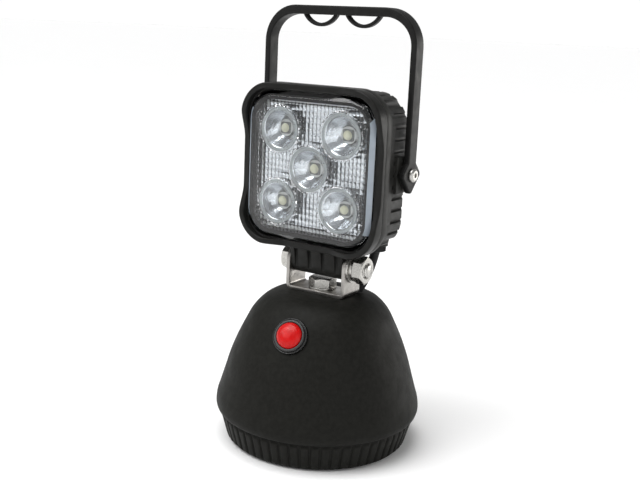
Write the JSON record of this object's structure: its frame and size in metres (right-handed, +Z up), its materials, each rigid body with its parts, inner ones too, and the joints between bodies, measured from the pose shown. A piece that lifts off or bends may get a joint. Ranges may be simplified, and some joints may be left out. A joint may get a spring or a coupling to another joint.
{
  "type": "portable work light",
  "caption": "Rechargeable LED work light: square finned lamp head with clear fluted lens, bail handle and stainless tilt bracket on a bell-shaped magnetic base with a push button.",
  "frame": {"origin": "centre of the underside of the base, on the surface the lamp stands on", "axes": "+Z up, the lamp faces -Y, +X to the right seen from the front"},
  "size_m": [0.144, 0.144, 0.301],
  "materials": {
    "base_plastic": "fine moulded texture",
    "tray_plastic": "fine moulded texture",
    "black_rubber": "matt",
    "zinc_steel": "zinc plated",
    "magnet": "ferrite, ground",
    "cell_wrap": "heat-shrink sleeve",
    "cradle_plastic": "moulded",
    "nickel_strip": "nickel",
    "circuit_board": "solder resist",
    "socket_plastic": "moulded",
    "red_button": "polished",
    "button_bezel": "semi-gloss",
    "switch_plastic": "moulded",
    "spring_steel": "drawn wire",
    "stainless": "rolled stainless sheet",
    "fastener_steel": "stainless fasteners",
    "housing_black": "satin powder coat on cast aluminium",
    "bezel_black": "semi-gloss powder coat on cast aluminium",
    "bush_bronze": "sintered",
    "clear_lens": "clear polycarbonate with moulded flutes",
    "reflector_chrome": "vacuum metallised",
    "led_board_white": "white solder resist on aluminium",
    "carrier_aluminium": "milled",
    "led_phosphor": "silicone dome over phosphor",
    "gland_black": "nylon",
    "handle_black": "satin powder coat",
    "nylon_white": "nylon"
  },
  "bodies": {
    "base": {"base_shell": "base_plastic", "base_tray": "tray_plastic", "magnet_pot": "zinc_steel", "magnet_ring": "magnet", "rubber_foot_pad": "black_rubber", "case_screws": "fastener_steel", "battery_cells": "cell_wrap", "battery_cradle_lower": "cradle_plastic", "battery_cradle_upper": "cradle_plastic", "battery_contacts": "nickel_strip", "charge_board": "circuit_board", "charge_socket": "socket_plastic", "button_bezel": "button_bezel", "button_nut": "switch_plastic", "switch_body": "switch_plastic", "button_spring": "spring_steel", "u_bracket": "stainless", "centre_washer": "fastener_steel", "centre_bolt": "fastener_steel", "stiffener_plate": "zinc_steel", "centre_nut": "fastener_steel", "pivot_bolt": "fastener_steel", "pivot_flat_washer": "fastener_steel", "pivot_spring_washer": "fastener_steel", "pivot_nut": "fastener_steel", "power_lead": "black_rubber", "lead_grommet": "black_rubber"},
    "head": {"lamp_housing": "housing_black", "pivot_bush": "bush_bronze", "front_bezel": "bezel_black", "lens": "clear_lens", "lens_gasket": "black_rubber", "bezel_screws": "fastener_steel", "reflector": "reflector_chrome", "led_board": "led_board_white", "led_carrier": "carrier_aluminium", "led_emitters": "led_phosphor", "driver_board": "circuit_board", "vent_plug": "gland_black", "cable_gland": "gland_black", "handle_screws": "fastener_steel", "handle_washers": "nylon_white"},
    "handle": {"bail_handle": "handle_black"},
    "button": {"power_button_cap": "red_button"},
    "socket_cover": {"socket_cap": "black_rubber"}
  },
  "joints": [
    {"name": "head_tilt", "type": "hinge", "parent": "base", "child": "head", "pos_m": [0, 0, 0.127], "axis": [1, 0, 0], "range_deg": [-45, 45], "deforming": ["power_lead"]},
    {"name": "handle_swing", "type": "hinge", "parent": "head", "child": "handle", "pos_m": [0, 0.0095, 0.1945], "axis": [1, 0, 0], "range_deg": [-110, 110]},
    {"name": "power_button_press", "type": "slide", "parent": "base", "child": "button", "axis": [-0.1519, 0.8613, -0.4848], "range_m": [0, 0.0025], "stiffness_N_per_m": 800, "springref_m": -0.001, "deforming": ["button_spring"]},
    {"name": "socket_cover_pull", "type": "slide", "parent": "base", "child": "socket_cover", "axis": [-0.1736, 0.9848, 0], "range_m": [0, 0.012]}
  ]
}
